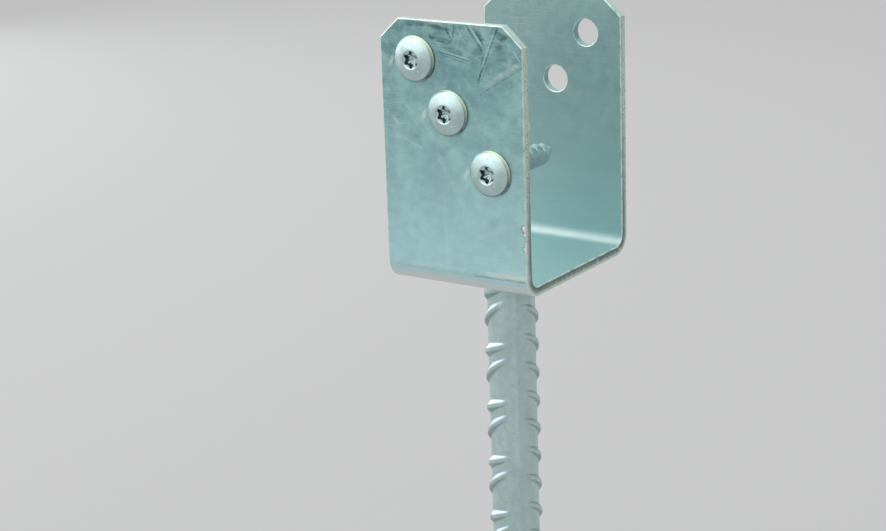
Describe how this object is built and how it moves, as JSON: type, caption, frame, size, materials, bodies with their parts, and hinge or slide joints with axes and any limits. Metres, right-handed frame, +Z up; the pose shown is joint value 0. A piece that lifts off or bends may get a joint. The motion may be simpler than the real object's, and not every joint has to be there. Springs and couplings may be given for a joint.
{
  "type": "timber post base",
  "caption": "Galvanised U bracket on a ribbed anchor bar that is cast into concrete and holds the foot of a square timber post by screws.",
  "frame": {"origin": "middle of the seat, the upper face of the bracket's web, on the anchor bar's axis", "axes": "+Z up along the anchor bar and the post; X along the width of the flanges; Y across the U, with the screwed front flange at -Y"},
  "size_m": [0.065, 0.0825, 0.3066],
  "materials": {
    "galvanised_sheet": "hot-dip galvanised, dull with scratches",
    "galvanised_bar": "hot-dip galvanised, dull",
    "zinc_plated_screw": "bright zinc plated, satin"
  },
  "bodies": {
    "root": {"folded_bracket": "galvanised_sheet", "anchor_bar": "galvanised_bar", "weld_bead": "galvanised_bar", "top_screw": "zinc_plated_screw", "middle_screw": "zinc_plated_screw", "low_screw": "zinc_plated_screw"}
  },
  "joints": []
}
